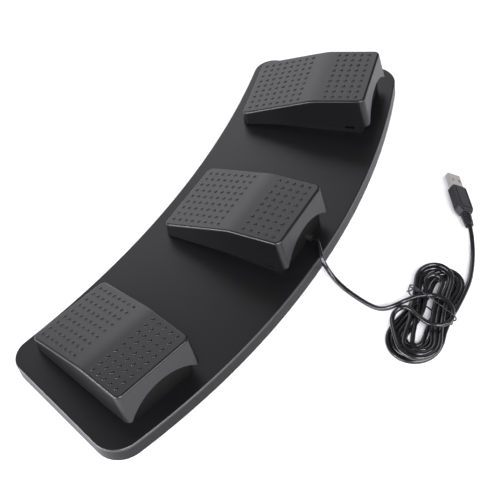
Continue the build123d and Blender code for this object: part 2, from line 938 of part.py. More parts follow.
def tail_points():
    """The tail's points from the hank's start to the plug's relief, square to both."""
    heading = math.radians(plug_heading)
    plug_rear = Vector(plug_x, plug_y, plug_z)
    ahead = Vector(math.cos(heading), math.sin(heading), 0)
    first = hank_start - hank_start_direction * (3 * cord_radius)
    last = plug_rear - ahead * (3 * cord_radius)
    return [tuple(hank_start), tuple(first)] + cord_tail_points + [tuple(last), tuple(plug_rear)]


def build_cord_lead():
    """Free stretch from the outlet to the hank."""
    points = lead_points()
    return tube(points, cord_radius, arc_radii(points), "cord_lead")


def build_cord_tail():
    """Free stretch from the hank to the plug."""
    points = tail_points()
    return tube(points, cord_radius, arc_radii(points), "cord_tail")


def tie_plane():
    """The upright plane that the tie's loop stands in."""
    turn = math.radians(tie_turn)
    return Plane(
        origin=(tie_x, tie_y, 0),
        x_dir=(math.cos(turn), math.sin(turn), 0),
        z_dir=(math.sin(turn), -math.cos(turn), 0),
    )


def build_tie():
    """Wire tie: one closed loop round the hank's waist, a twisted knot on top and its two ends."""
    plane = tie_plane()
    outline = make_face(Polyline(*tie_loop_points, close=True))
    outline = fillet(outline.vertices(), tie_bend)
    ring_wire = (plane * outline).faces()[0].outer_wire()
    start = ring_wire.position_at(0)
    ring = sweep(Plane(origin=start, z_dir=ring_wire.tangent_at(0)) * Circle(tie_radius), path=ring_wire)
    foot = plane.from_local_coords((tie_knot_reach + tie_knot_length / 2, tie_knot_height, 0))
    head = plane.from_local_coords((tie_knot_reach - tie_knot_length / 2, tie_knot_height - tie_radius, 0))
    tie = ring + rod(tie_knot_radius, tuple(foot), tuple(head))
    for tip in tie_end_points:
        tie = tie + rod(tie_radius, tuple(head), tip)
    return tie


plug_frame = Pos(plug_x, plug_y, plug_z) * Rot(0, 0, plug_heading) * Rot(plug_roll, 0, 0)


def build_plug_grip():
    """Moulded grip with sloped shoulders and a ribbed, tapered strain relief."""
    front = relief_length + grip_length
    plan = make_face(
        Polyline(
            (relief_length, -relief_front_radius),
            (relief_length + grip_shoulder, -grip_width / 2),
            (front - grip_radius, -grip_width / 2),
            (front, -grip_width / 2 + grip_radius),
            (front, grip_width / 2 - grip_radius),
            (front - grip_radius, grip_width / 2),
            (relief_length + grip_shoulder, grip_width / 2),
            (relief_length, relief_front_radius),
            close=True,
        )
    )
    grip = extrude(plan, grip_height / 2, both=True)
    flat = [e for e in grip.edges() if abs(e.tangent_at(0.5).Z) < math.sin(math.radians(taper_angle))]
    grip = chamfer(flat, grip_radius / 2)
    frame_outer = Rectangle(
        grip_length - 2 * grip_shoulder + grip_radius, grip_width - 2 * grip_radius - relief_front_radius
    )
    frame_face = offset(frame_outer, amount=grip_radius) - offset(
        frame_outer, amount=grip_radius - unit * grip_frame_depth * 2
    )
    middle_x = relief_length + grip_shoulder / 2 + grip_length / 2
    for side in (-1, 1):
        z = side * (grip_height / 2 - grip_frame_depth / 2)
        grip = grip - extrude(Pos(middle_x, 0, z) * frame_face, grip_frame_depth, both=True)
    ring_pitch = relief_length / relief_rings
    outline = [(0, 0)]
    for ring in range(relief_rings):
        x = ring * ring_pitch
        grow = relief_rear_radius + (relief_front_radius - relief_rear_radius) * ring / relief_rings
        land_share = 0.6
        outline += [(x, grow), (x + ring_pitch * land_share, grow)]
        outline += [
            (x + ring_pitch * land_share, grow - relief_ring_depth),
            (x + ring_pitch, grow - relief_ring_depth),
        ]
    outline += [
        (relief_length + overrun, relief_front_radius - relief_ring_depth),
        (relief_length + overrun, 0),
    ]
    relief = revolve(make_face(Polyline(*outline, close=True)), Axis.X)
    pocket_front = front - shell_depth
    grip = grip + relief
    pocket = box_between(
        (pocket_front, -shell_width / 2, -shell_height / 2),
        (front + overrun, shell_width / 2, shell_height / 2),
    )
    return plug_frame * (grip - pocket)


def build_plug_shell():
    """Folded steel shell of the plug, open at its mouth, with its four square windows."""
    back = relief_length + grip_length - shell_depth
    tip = relief_length + grip_length + shell_length
    shell = box_between(
        (back, -shell_width / 2, -shell_height / 2), (tip, shell_width / 2, shell_height / 2)
    )
    shell = fillet(shell.edges().filter_by(Axis.X), shell_wall)
    inner = (shell_width / 2 - shell_wall, shell_height / 2 - shell_wall)
    shell = shell - box_between((back - overrun, -inner[0], -inner[1]), (tip + overrun, inner[0], inner[1]))
    window_x = tip - shell_length / 2
    for side in (-1, 1):
        y = side * shell_width / 4
        window = box_between(
            (window_x - window_side / 2, y - window_side / 2, -shell_height),
            (window_x + window_side / 2, y + window_side / 2, shell_height),
        )
        shell = shell - window
    return plug_frame * shell


def build_plug_tongue():
    """Plastic tongue inside the shell, with a root block that fills the shell's back."""
    back = relief_length + grip_length - shell_depth
    root = back + shell_depth - 2 * tongue_gap
    tip = relief_length + grip_length + shell_length - shell_wall
    half = shell_width / 2 - shell_wall - tongue_gap
    top = shell_height / 2 - shell_wall - tongue_gap
    tongue = box_between((back, -half, -top), (root, half, top))
    return plug_frame * (tongue + box_between((back, -half, -top), (tip, half, tongue_height - top)))


def build_plug_contacts():
    """Four flat contacts on the tongue."""
    root = relief_length + grip_length - 2 * tongue_gap
    tip = relief_length + grip_length + shell_length - 2 * shell_wall
    base = tongue_height - (shell_height / 2 - shell_wall - tongue_gap)
    contacts = []
    for index in range(4):
        y = (index - 1.5) * contact_pitch
        strip = box_between(
            (root, y - contact_width / 2, base), (tip, y + contact_width / 2, base + contact_height)
        )
        contacts.append(plug_frame * strip)
    return contacts


def write(name, pieces):
    """Write one named node, a solid or a group of solids."""
    solids = []
    for piece in pieces if isinstance(pieces, list) else [pieces]:
        solids += piece.solids()
    shape = solids[0] if len(solids) == 1 else Compound(solids)
    shape.label = name
    export_step(shape, os.path.join("parts", name + ".step"))


os.makedirs("parts", exist_ok=True)
write("board", build_board())
write("bottom_plate", build_bottom_plate())
write("plate_screws", build_plate_screws())
write("rubber_feet", build_rubber_feet())
write("pedal_screws", build_pedal_screws())

cover = build_cover()
pin = build_pin()
spring = build_spring()
switch_body = build_switch_body()
plunger = build_plunger()
stop_pad = build_stop_pad()
for name, frame in pedal_frames.items():
    write("pedal_cover_" + name, frame * cover)
    write("pedal_base_" + name, frame * build_base(name))
    write("hinge_pin_" + name, frame * pin)
    write("return_spring_" + name, frame * spring)
    write("circuit_board_" + name, frame * build_circuit(name))
    write("switch_body_" + name, frame * switch_body)
    write("switch_plunger_" + name, frame * plunger)
    write("stop_pad_" + name, frame * stop_pad)

write("inner_lead_left", build_inner_lead(-1, "inner_lead_left"))
write("inner_lead_right", build_inner_lead(1, "inner_lead_right"))
write("cord_outlet", pedal_frames["middle"] * build_outlet())
write("cord_lead", build_cord_lead())
write("cord_hank", build_hank())
write("cord_tail", build_cord_tail())
write("cord_tie", build_tie())
write("plug_grip", build_plug_grip())
write("plug_shell", build_plug_shell())
write("plug_tongue", build_plug_tongue())
write("plug_contacts", build_plug_contacts())
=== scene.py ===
import math

import bmesh
import bpy
from mathutils import Matrix, Vector


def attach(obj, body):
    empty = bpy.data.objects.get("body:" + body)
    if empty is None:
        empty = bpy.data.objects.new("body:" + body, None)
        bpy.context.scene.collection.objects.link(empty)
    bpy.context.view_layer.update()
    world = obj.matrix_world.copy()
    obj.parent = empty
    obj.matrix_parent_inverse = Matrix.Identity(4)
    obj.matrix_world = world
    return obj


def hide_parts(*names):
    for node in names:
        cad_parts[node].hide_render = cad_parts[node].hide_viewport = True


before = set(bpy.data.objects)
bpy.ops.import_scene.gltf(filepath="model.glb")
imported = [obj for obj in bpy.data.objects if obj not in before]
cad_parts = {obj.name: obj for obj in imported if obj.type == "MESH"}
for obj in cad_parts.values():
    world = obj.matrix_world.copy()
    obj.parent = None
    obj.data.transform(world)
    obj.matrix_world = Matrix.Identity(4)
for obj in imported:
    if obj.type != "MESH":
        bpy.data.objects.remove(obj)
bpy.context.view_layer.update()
scene = bpy.context.scene

# ---------------------------------------------------------------------------------------
# Camera: it stands above the far right corner, on the cord's side, and looks down at the
# three pedals with the hank and the plug in front of them.
camera_place = Vector((0.4089, 0.349566, 0.5879))
camera_forward = Vector((-0.509, -0.421, -0.751)).normalized()
camera_level = Vector((-0.511, 0.85, -0.13))
camera_right = (camera_level - camera_forward * camera_level.dot(camera_forward)).normalized()
camera_up = camera_right.cross(camera_forward)
camera_data = bpy.data.cameras.new("studio_camera")
camera_data.sensor_width = 36.0
camera_data.lens = 70.9
camera_data.clip_start = 0.01
camera = bpy.data.objects.new("studio_camera", camera_data)
camera.matrix_world = Matrix.Translation(camera_place) @ Matrix(
    (camera_right, camera_up, -camera_forward)
).transposed().to_4x4()
scene.collection.objects.link(camera)
scene.camera = camera

# ---------------------------------------------------------------------------------------
# Free lead: a round PVC cord from the grommet over the board's edge to its hank, wound in
# four lanes and two layers, and on to the plug. It is one length of cord, so one spline.
cord_radius = 0.00175
lead_route = [
    (-0.006, 0.069466, 0.0205),
    (-0.006, 0.072966, 0.0205),
    (-0.0034, 0.0762, 0.0209),
    (0.0012, 0.0796, 0.021),
    (0.0058, 0.0834, 0.0198),
    (0.009, 0.0874, 0.0154),
    (0.01, 0.0912, 0.0102),
    (0.0116, 0.0964, 0.006),
    (0.0142, 0.1044, 0.0032),
    (0.017, 0.1144, 0.0021),
    (0.0198, 0.126, 0.002),
    (0.0213, 0.136, 0.0023),
    (0.0206, 0.143, 0.0042),
    (0.0187, 0.1492, 0.0088),
    (0.0152, 0.1542, 0.0124),
    (0.0108, 0.158, 0.013),
    (0.0062, 0.1613, 0.0124),
    (0.0018, 0.1658, 0.0114),
    (-0.0012, 0.1714, 0.0112),
    (-0.0018, 0.1782, 0.0112),
    (0.0004, 0.1846, 0.0115),
    (0.0049, 0.1896, 0.0112),
    (0.011, 0.1922, 0.0112),
    (0.0178, 0.192, 0.0128),
    (0.0232, 0.188, 0.0136),
    (0.0252, 0.1816, 0.0136),
    (0.0238, 0.175, 0.0132),
    (0.0208, 0.169, 0.0122),
    (0.0176, 0.1638, 0.0114),
    (0.0164, 0.1582, 0.0106),
    (0.0187, 0.1537, 0.0092),
    (0.0241, 0.1516, 0.0078),
    (0.0314, 0.1538, 0.0078),
]
tail_route = [
    (-0.024, 0.1886, 0.00305),
    (-0.0326, 0.1872, 0.0026),
    (-0.042, 0.1846, 0.0022),
    (-0.052, 0.1812, 0.0022),
    (-0.062, 0.177, 0.003),
    (-0.07402, 0.17047, 0.0068),
    (-0.0782, 0.1673, 0.0068),
]
# The hank in plan: round ends, joined by runs that bow in towards the tied waist, in lanes
# side by side, with a low and a high layer.
hank_middle = (0.008, 0.1718)
hank_low = 0.00305
hank_high = 0.0071
lane_pitch = 0.00405
lobe_radii = {"a": 0.0189, "b": 0.0193}
bow_radius = 0.09
bow_middle = 0.1055
lobe_points = 7
lift_start = 2
bow_shares = (-0.55, 0.0, 0.55)
# Each end turn in winding order: its end, its lane in and out, its height and plan angle,
# and how much narrower it is, reaches out, stands aside and rises against a neat one.
end_turns = [
    ("a", 0, 0, hank_low, 2.0, 0.0, 0.0, 0.0015, -0.0006),
    ("b", 0, 0, hank_low, -0.8, 0.0002, -0.0014, 0.0018, -0.0012),
    ("a", 0, 1, hank_low, 2.6, 0.002, 0.0101, 0.0021, -0.0012),
    ("b", 1, 1, hank_low, -2.3, 0.0002, -0.0008, 0.002, -0.0003),
    ("a", 1, 2, hank_low, 0.7, 0.0021, 0.0095, 0.0024, 0.0),
    ("b", 2, 2, hank_low, -2.3, 0.0002, -0.0028, 0.0015, -0.0005),
    ("a", 2, 3, hank_low, -2.3, 0.0018, 0.0072, 0.0015, -0.0001),
    ("b", 3, 3, hank_low, -1.0, 0.0006, -0.0005, 0.0015, -0.0009),
    ("a", 3, 3, hank_high, 11.3, 0.0005, -0.0016, -0.001, 0.0016),
    ("b", 3, 2, hank_high, 11.9, 0.0024, 0.0124, 0.0043, -0.0012),
    ("a", 2, 2, hank_high, 10.3, 0.0, 0.0001, -0.002, -0.0008),
    ("b", 2, 1, hank_high, 9.7, 0.0021, 0.0133, 0.004, 0.0031),
    ("a", 1, 1, hank_high, 8.8, 0.002, 0.0081, -0.0024, 0.0032),
    ("b", 1, 0, hank_high, 9.2, 0.0028, 0.0184, 0.0041, 0.0042),
]


def hank_place(along, across, height, angle):
    """A point of the hank's own plan, waist in the middle, laid at an angle in degrees."""
    turn = math.radians(angle)
    x = hank_middle[0] + along * math.cos(turn) - across * math.sin(turn)
    y = hank_middle[1] + along * math.sin(turn) + across * math.cos(turn)
    return (x, y, height)


def hank_route():
    """Points of the hank: down one bowed run, round an end, back up the other run."""
    route = []
    for last, this in zip(end_turns, end_turns[1:]):
        end, lane_in, lane_out, height, angle, narrow, reach, aside, rise = this
        last_height, last_angle, _, last_reach, last_aside, last_rise = last[3:]
        out = 1 if end == "b" else -1
        radius = lobe_radii[end] - narrow - (lane_in + lane_out) * lane_pitch / 2
        reach_in = radius + bow_radius + lane_in * lane_pitch
        reach_out = radius + bow_radius + lane_out * lane_pitch
        # The end turn's middle, where it meets the two bowed runs in line with them.
        middle_across = out * (reach_out**2 - reach_in**2) / (4 * bow_middle)
        middle_along = out * math.sqrt(reach_in**2 - (middle_across - out * bow_middle) ** 2)
        bow = bow_radius + lane_in * lane_pitch
        tangent = abs(middle_along) * bow / reach_in
        for share in bow_shares:
            along = out * share * tangent
            across = out * (bow_middle - math.sqrt(bow**2 - along**2))
            climb = (share + 1) / 2
            stay = 1 - climb
            z = last_height * stay + height * climb
            z += last_rise * max(0.0, stay - climb) + rise * max(0.0, climb - stay)
            along += out * (reach * climb - last_reach * stay)
            across += last_aside * stay + aside * climb
            route.append(hank_place(along, across, z, last_angle * stay + angle * climb))
        start = math.atan2(out * bow_middle - middle_across, -middle_along)
        sweep = -2 * (math.pi - math.atan2(bow_middle, abs(middle_along)))
        # The spline runs inside its points, so the points stand a little outside the turn.
        drawn_out = radius / (1 - (sweep / (lobe_points - 1)) ** 2 / 8)
        for step in range(lobe_points):
            around = start + sweep * step / (lobe_points - 1)
            # The turn has risen a part of its way before its first point and after its last.
            share = (step + lift_start) / (lobe_points - 1 + 2 * lift_start)
            lift = rise * math.sin(math.pi * share)
            along = middle_along + out * reach + drawn_out * math.cos(around)
            across = middle_across + aside + drawn_out * math.sin(around)
            route.append(hank_place(along, across, height + lift, angle))
    return route


cord_curve = bpy.data.curves.new("lead_and_hank", "CURVE")
cord_curve.dimensions = "3D"
cord_curve.resolution_u = 6
cord_curve.bevel_depth = cord_radius
cord_curve.bevel_resolution = 5
cord_curve.use_fill_caps = True
cord_route = lead_route + hank_route()[-2::-1] + tail_route
spline = cord_curve.splines.new("NURBS")
spline.points.add(len(cord_route) - 1)
for point, place in zip(spline.points, cord_route):
    point.co = (*place, 1.0)
spline.order_u = 3
spline.use_endpoint_u = True
cord = bpy.data.objects.new("lead_and_hank", cord_curve)
scene.collection.objects.link(cord)


def shader_group(name, inputs, outputs):
    """An empty shader node group with named sockets, its entry and its result node."""
    group = bpy.data.node_groups.new(name, "ShaderNodeTree")
    for socket, kind, value in inputs:
        made = group.interface.new_socket(socket, in_out="INPUT", socket_type=kind)
        made.default_value = value
    for socket, kind in outputs:
        group.interface.new_socket(socket, in_out="OUTPUT", socket_type=kind)
    return group, group.nodes.new("NodeGroupInput"), group.nodes.new("NodeGroupOutput")


number = "NodeSocketFloat"
colour = "NodeSocketColor"
grain, entry, result = shader_group(
    "moulded_grain",
    [
        ("Color", colour, (0.03, 0.03, 0.03, 1.0)),
        ("Pale", colour, (0.06, 0.06, 0.06, 1.0)),
        ("Grain", number, 1500.0),
        ("Mottle", number, 30.0),
        ("Amount", number, 0.3),
        ("Roughness", number, 0.5),
        ("Spread", number, 0.1),
    ],
    [("Color", colour), ("Roughness", number), ("Height", number)],
)
place = grain.nodes.new("ShaderNodeTexCoord")
fine = grain.nodes.new("ShaderNodeTexNoise")
fine.inputs["Detail"].default_value = 3.0
broad = grain.nodes.new("ShaderNodeTexNoise")
broad.inputs["Detail"].default_value = 5.0
broad.inputs["Roughness"].default_value = 0.6
grain.links.new(place.outputs["Object"], fine.inputs["Vector"])
grain.links.new(place.outputs["Object"], broad.inputs["Vector"])
grain.links.new(entry.outputs["Grain"], fine.inputs["Scale"])
grain.links.new(entry.outputs["Mottle"], broad.inputs["Scale"])
share = grain.nodes.new("ShaderNodeMath")
share.operation = "MULTIPLY"
grain.links.new(broad.outputs["Fac"], share.inputs[0])
grain.links.new(entry.outputs["Amount"], share.inputs[1])
tint = grain.nodes.new("ShaderNodeMix")
tint.data_type = "RGBA"
grain.links.new(share.outputs[0], tint.inputs["Factor"])
grain.links.new(entry.outputs["Color"], tint.inputs["A"])
grain.links.new(entry.outputs["Pale"], tint.inputs["B"])
centred = grain.nodes.new("ShaderNodeMath")
centred.operation = "SUBTRACT"
centred.inputs[1].default_value = 0.5
grain.links.new(fine.outputs["Fac"], centred.inputs[0])
rough = grain.nodes.new("ShaderNodeMath")
rough.operation = "MULTIPLY_ADD"
grain.links.new(centred.outputs[0], rough.inputs[0])
grain.links.new(entry.outputs["Spread"], rough.inputs[1])
grain.links.new(entry.outputs["Roughness"], rough.inputs[2])
grain.links.new(tint.outputs["Result"], result.inputs["Color"])
grain.links.new(rough.outputs[0], result.inputs["Roughness"])
grain.links.new(fine.outputs["Fac"], result.inputs["Height"])


def moulded(name, dark, pale, grain_scale, amount, roughness, spread, depth, mottle=30.0, **fixed):
    """A material of moulded plastic, rubber or metal with a fine grain and a faint mottle."""
    material = bpy.data.materials.new(name)
    material.use_nodes = True
    tree = material.node_tree
    shader = tree.nodes["Principled BSDF"]
    skin = tree.nodes.new("ShaderNodeGroup")
    skin.node_tree = grain
    skin.inputs["Color"].default_value = (*dark, 1.0)
    skin.inputs["Pale"].default_value = (*pale, 1.0)
    skin.inputs["Grain"].default_value = grain_scale
    skin.inputs["Mottle"].default_value = mottle
    skin.inputs["Amount"].default_value = amount
    skin.inputs["Roughness"].default_value = roughness
    skin.inputs["Spread"].default_value = spread
    bump = tree.nodes.new("ShaderNodeBump")
    bump.inputs["Strength"].default_value = 1.0
    bump.inputs["Distance"].default_value = depth
    tree.links.new(skin.outputs["Height"], bump.inputs["Height"])
    tree.links.new(skin.outputs["Color"], shader.inputs["Base Color"])
    tree.links.new(skin.outputs["Roughness"], shader.inputs["Roughness"])
    tree.links.new(bump.outputs["Normal"], shader.inputs["Normal"])
    for socket, value in fixed.items():
        shader.inputs[socket.replace("_", " ")].default_value = value
    return material


cord_skin = moulded(
    "cord_skin",
    dark=(0.004, 0.004, 0.0044),
    pale=(0.008, 0.008, 0.0085),
    grain_scale=2600.0,
    amount=0.5,
    roughness=0.22,
    spread=0.03,
    depth=0.000002,
    Specular_IOR_Level=0.62,
)
cord_curve.materials.append(cord_skin)

# ---------------------------------------------------------------------------------------
# Tie: a vinyl-covered wire, taken once round the hank's waist and twisted on itself, with
# its two ends left standing out.
tie_radius = 0.0005
tie_middle = (0.0039, 0.1712)
tie_turn = math.radians(72.0)
tie_loop = [
    (-0.0098, 0.0112),
    (-0.0125, 0.0113),
    (-0.017, 0.011),
    (-0.0205, 0.0092),
    (-0.0207, 0.002),
    (-0.0192, 0.00052),
    (-0.015, 0.0005),
    (0.0, 0.0005),
    (0.016, 0.0005),
    (0.0206, 0.00052),
    (0.0216, 0.002),
    (0.0216, 0.006),
    (0.025, 0.0096),
    (0.025, 0.0126),
    (0.0222, 0.0145),
    (-0.006, 0.0145),
]
twist_foot = (-0.0108, 0.0135)
twist_head = (-0.0144, 0.013)
twist_radius = 0.00075
twist_points = 10
twist_step = math.pi / 3
whiskers = [
    [(-0.0021, 0.1521, 0.0106), (-0.0034, 0.1533, 0.0112), (-0.0026, 0.1556, 0.0122)],
    [(0.0002, 0.1562, 0.0124), (0.0026, 0.1556, 0.0116), (0.004, 0.1529, 0.0114)],
]


def tie_place(reach, height, aside=0.0):
    """A point of the upright plane that the tie stands in."""
    x = tie_middle[0] + reach * math.cos(tie_turn) + aside * math.sin(tie_turn)
    y = tie_middle[1] + reach * math.sin(tie_turn) - aside * math.cos(tie_turn)
    return (x, y, height)


def tie_twist(phase):
    """One of the two strands that are twisted on each other, from the twist's foot."""
    strand = []
    for step in range(twist_points):
        share = step / (twist_points - 1)
        around = phase + step * twist_step
        reach = twist_foot[0] * (1 - share) + twist_head[0] * share
        height = twist_foot[1] * (1 - share) + twist_head[1] * share
        height += twist_radius * math.cos(around)
        strand.append(tie_place(reach, height, twist_radius * math.sin(around)))
    return strand


tie_route = whiskers[0] + tie_twist(math.pi)[::-1]
tie_route += [tie_place(*point) for point in tie_loop]
tie_route += tie_twist(0.0) + whiskers[1]
tie_curve = bpy.data.curves.new("waist_tie", "CURVE")
tie_curve.dimensions = "3D"
tie_curve.resolution_u = 5
tie_curve.bevel_depth = tie_radius
tie_curve.bevel_resolution = 3
tie_curve.use_fill_caps = True
spline = tie_curve.splines.new("NURBS")
spline.points.add(len(tie_route) - 1)
for point, place in zip(spline.points, tie_route):
    point.co = (*place, 1.0)
spline.order_u = 3
spline.use_endpoint_u = True
tie = bpy.data.objects.new("waist_tie", tie_curve)
scene.collection.objects.link(tie)
tie_skin = moulded(
    "tie_skin",
    dark=(0.004, 0.004, 0.005),
    pale=(0.009, 0.009, 0.01),
    grain_scale=1500.0,
    amount=0.4,
    roughness=0.35,
    spread=0.1,
    depth=0.00001,
)
tie_curve.materials.append(tie_skin)
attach(tie, "base")
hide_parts("cord_tie")

# ---------------------------------------------------------------------------------------
# Plug: a moulded grip over the cord's end, a folded and plated steel shell, and inside it
# the contact tongue.
plug_skin = moulded(
    "plug_grip_skin",
    dark=(0.005, 0.005, 0.006),
    pale=(0.014, 0.014, 0.016),
    grain_scale=1400.0,
    amount=0.5,
    roughness=0.36,
    spread=0.1,
    depth=0.00003,
)
shell_skin = moulded(
    "plug_shell_plating",
    dark=(0.72, 0.71, 0.69),
    pale=(0.84, 0.83, 0.8),
    grain_scale=2400.0,
    amount=0.4,
    roughness=0.38,
    spread=0.04,
    depth=0.000002,
    Metallic=1.0,
)
tongue_skin = moulded(
    "plug_tongue_plastic",
    dark=(0.6, 0.6, 0.57),
    pale=(0.75, 0.75, 0.72),
    grain_scale=1200.0,
    amount=0.4,
    roughness=0.45,
    spread=0.1,
    depth=0.00001,
)
contact_skin = moulded(
    "plug_contact_gold",
    dark=(0.83, 0.58, 0.22),
    pale=(0.9, 0.7, 0.3),
    grain_scale=900.0,
    amount=0.4,
    roughness=0.25,
    spread=0.1,
    depth=0.000005,
    Metallic=1.0,
)
for node, material in (
    ("plug_grip", plug_skin),
    ("plug_shell", shell_skin),
    ("plug_tongue", tongue_skin),
    ("plug_contacts", contact_skin),
):
    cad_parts[node].data.materials.clear()
    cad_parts[node].data.materials.append(material)

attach(cord, "base")
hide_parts("cord_lead", "cord_hank", "cord_tail")

# ---------------------------------------------------------------------------------------
# Board: a one-piece moulding in black ABS with an open underside, closed by a sheet steel
# plate that is screwed on. It stands on stuck-on rubber feet.
board_skin = moulded(
    "board_plastic_grain",
    dark=(0.0022, 0.0022, 0.0025),
    pale=(0.005, 0.005, 0.0056),
    grain_scale=1300.0,
    amount=0.5,
    roughness=0.38,
    spread=0.12,
    depth=0.00002,
)
# The tray's upright side is duller than its top, and the rounded edge between them shinier:
# how shiny it is at each share of the way up from the side to the top.
shine_from = 0.01
shine_to = 0.0146
side_shine = 0.18
edge_shine = 1.0
top_shine = 0.5
shine_steps = ((0.56, side_shine), (0.68, edge_shine), (0.94, edge_shine), (0.965, top_shine))
board_tree = board_skin.node_tree
board_place = board_tree.nodes.new("ShaderNodeTexCoord")
board_axes = board_tree.nodes.new("ShaderNodeSeparateXYZ")
board_tree.links.new(board_place.outputs["Object"], board_axes.inputs[0])
way_up = board_tree.nodes.new("ShaderNodeMapRange")
way_up.inputs["From Min"].default_value = shine_from
way_up.inputs["From Max"].default_value = shine_to
board_tree.links.new(board_axes.outputs["Z"], way_up.inputs["Value"])
shine_ramp = board_tree.nodes.new("ShaderNodeValToRGB")
shine_stops = shine_ramp.color_ramp.elements
shine_stops[0].color = (side_shine, side_shine, side_shine, 1.0)
shine_stops[1].color = (top_shine, top_shine, top_shine, 1.0)
for share, shine in shine_steps:
    shine_stops.new(share).color = (shine, shine, shine, 1.0)
board_tree.links.new(way_up.outputs["Result"], shine_ramp.inputs["Fac"])
board_shader = board_tree.nodes["Principled BSDF"]
board_tree.links.new(shine_ramp.outputs["Color"], board_shader.inputs["Specular IOR Level"])
plate_skin = moulded(
    "plate_powder_coat",
    dark=(0.02, 0.02, 0.02),
    pale=(0.035, 0.035, 0.035),
    grain_scale=700.0,
    amount=0.5,
    roughness=0.55,
    spread=0.15,
    depth=0.00008,
)
screw_skin = moulded(
    "zinc_plated_screws",
    dark=(0.35, 0.35, 0.36),
    pale=(0.5, 0.5, 0.5),
    grain_scale=1500.0,
    amount=0.6,
    roughness=0.32,
    spread=0.15,
    depth=0.00001,
    Metallic=1.0,
)
foot_skin = moulded(
    "foot_rubber",
    dark=(0.012, 0.012, 0.012),
    pale=(0.03, 0.03, 0.03),
    grain_scale=1200.0,
    amount=0.5,
    roughness=0.75,
    spread=0.1,
    depth=0.00005,
)
for node, material in (
    ("board", board_skin),
    ("bottom_plate", plate_skin),
    ("plate_screws", screw_skin),
    ("pedal_screws", screw_skin),
    ("rubber_feet", foot_skin),
):
    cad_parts[node].data.materials.clear()
    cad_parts[node].data.materials.append(material)

# ---------------------------------------------------------------------------------------
# Pedals: each cover is a thin black moulding over a darker base, hinged at its heel on a
# steel pin, with a spring, a push switch on its small circuit board and a rubber stop.
cover_skin = moulded(
    "cover_plastic_grain",
    dark=(0.0026, 0.0026, 0.003),
    pale=(0.006, 0.006, 0.0068),
    grain_scale=1600.0,
    amount=0.5,
    roughness=0.34,
    spread=0.12,
    depth=0.00002,
)
base_skin = moulded(
    "base_plastic_grain",
    dark=(0.0022, 0.0022, 0.0022),
    pale=(0.004, 0.004, 0.004),
    grain_scale=1300.0,
    amount=0.4,
    roughness=0.7,
    spread=0.1,
    depth=0.00005,
    Specular_IOR_Level=0.2,
)
steel_skin = moulded(
    "ground_steel",
    dark=(0.5, 0.5, 0.51),
    pale=(0.62, 0.62, 0.62),
    grain_scale=1200.0,
    amount=0.5,
    roughness=0.25,
    spread=0.1,
    depth=0.000005,
    Metallic=1.0,
)
laminate_skin = moulded(
    "circuit_solder_mask",
    dark=(0.01, 0.08, 0.04),
    pale=(0.02, 0.14, 0.07),
    grain_scale=800.0,
    amount=0.5,
    roughness=0.3,
    spread=0.1,
    depth=0.00001,
)
switch_skin = moulded(
    "switch_body_plastic",
    dark=(0.02, 0.02, 0.022),
    pale=(0.04, 0.04, 0.04),
    grain_scale=1400.0,
    amount=0.4,
    roughness=0.45,
    spread=0.1,
    depth=0.00002,
)
plunger_skin = moulded(
    "switch_plunger_plastic",
    dark=(0.3, 0.03, 0.02),
    pale=(0.4, 0.05, 0.04),
    grain_scale=1400.0,
    amount=0.4,
    roughness=0.4,
    spread=0.1,
    depth=0.00002,
)
outlet_skin = moulded(
    "grommet_rubber",
    dark=(0.003, 0.003, 0.003),
    pale=(0.006, 0.006, 0.006),
    grain_scale=1200.0,
    amount=0.4,
    roughness=0.75,
    spread=0.1,
    depth=0.00004,
    Specular_IOR_Level=0.25,
)
sides = ("left", "middle", "right")
for side in sides:
    for kind, material in (
        ("pedal_cover", cover_skin),
        ("pedal_base", base_skin),
        ("hinge_pin", steel_skin),
        ("return_spring", steel_skin),
        ("circuit_board", laminate_skin),
        ("switch_body", switch_skin),
        ("switch_plunger", plunger_skin),
        ("stop_pad", foot_skin),
    ):
        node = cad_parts[f"{kind}_{side}"]
        node.data.materials.clear()
        node.data.materials.append(material)
for node, material in (
    ("cord_outlet", outlet_skin),
    ("inner_lead_left", cord_skin),
    ("inner_lead_right", cord_skin),
):
    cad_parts[node].data.materials.clear()
    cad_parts[node].data.materials.append(material)

# ---------------------------------------------------------------------------------------
# Tread studs: low domes moulded in one with each cover, in rows across its heel slope and
# its toe slope, with a smooth band between them at the bend.
pedal_length = 0.1075
heel_height = 0.0125
bend_reach = 0.062
bend_height = 0.0325
toe_height = 0.0375
stud_radius = 0.0016
stud_height = 0.0007
pitch_along = 0.00665
pitch_across = 0.00684
rows_across = 9
heel_columns = 8
toe_columns = 5
heel_margin = 0.0055
toe_margin = 0.0082
# Each dome is a ball pressed flat, cut off this share of its height below its middle, which
# lies inside the cover.
ball_segments = 12
ball_rings = 8
ball_cut = -0.4
board_top = 0.0145
pedal_turn = math.radians(14.5)
side_pedal_x = 0.162
side_toe_y = 0.0439657
middle_toe_y = 0.0659657
pedal_frames = {
    "left": Matrix.Translation((-side_pedal_x, side_toe_y, board_top))
    @ Matrix.Rotation(pedal_turn, 4, "Z"),
    "middle": Matrix.Translation((0.0, middle_toe_y, board_top)),
    "right": Matrix.Translation((side_pedal_x, side_toe_y, board_top))
    @ Matrix.Rotation(-pedal_turn, 4, "Z"),
}


def geometry_group(name, inputs):
    """An empty geometry tree with named inputs, its entry and its result node."""
    group = bpy.data.node_groups.new(name, "GeometryNodeTree")
    group.interface.new_socket("Geometry", in_out="INPUT", socket_type="NodeSocketGeometry")
    for socket, kind in inputs:
        group.interface.new_socket(socket, in_out="INPUT", socket_type=kind)
    group.interface.new_socket("Geometry", in_out="OUTPUT", socket_type="NodeSocketGeometry")
    return group, group.nodes.new("NodeGroupInput"), group.nodes.new("NodeGroupOutput")


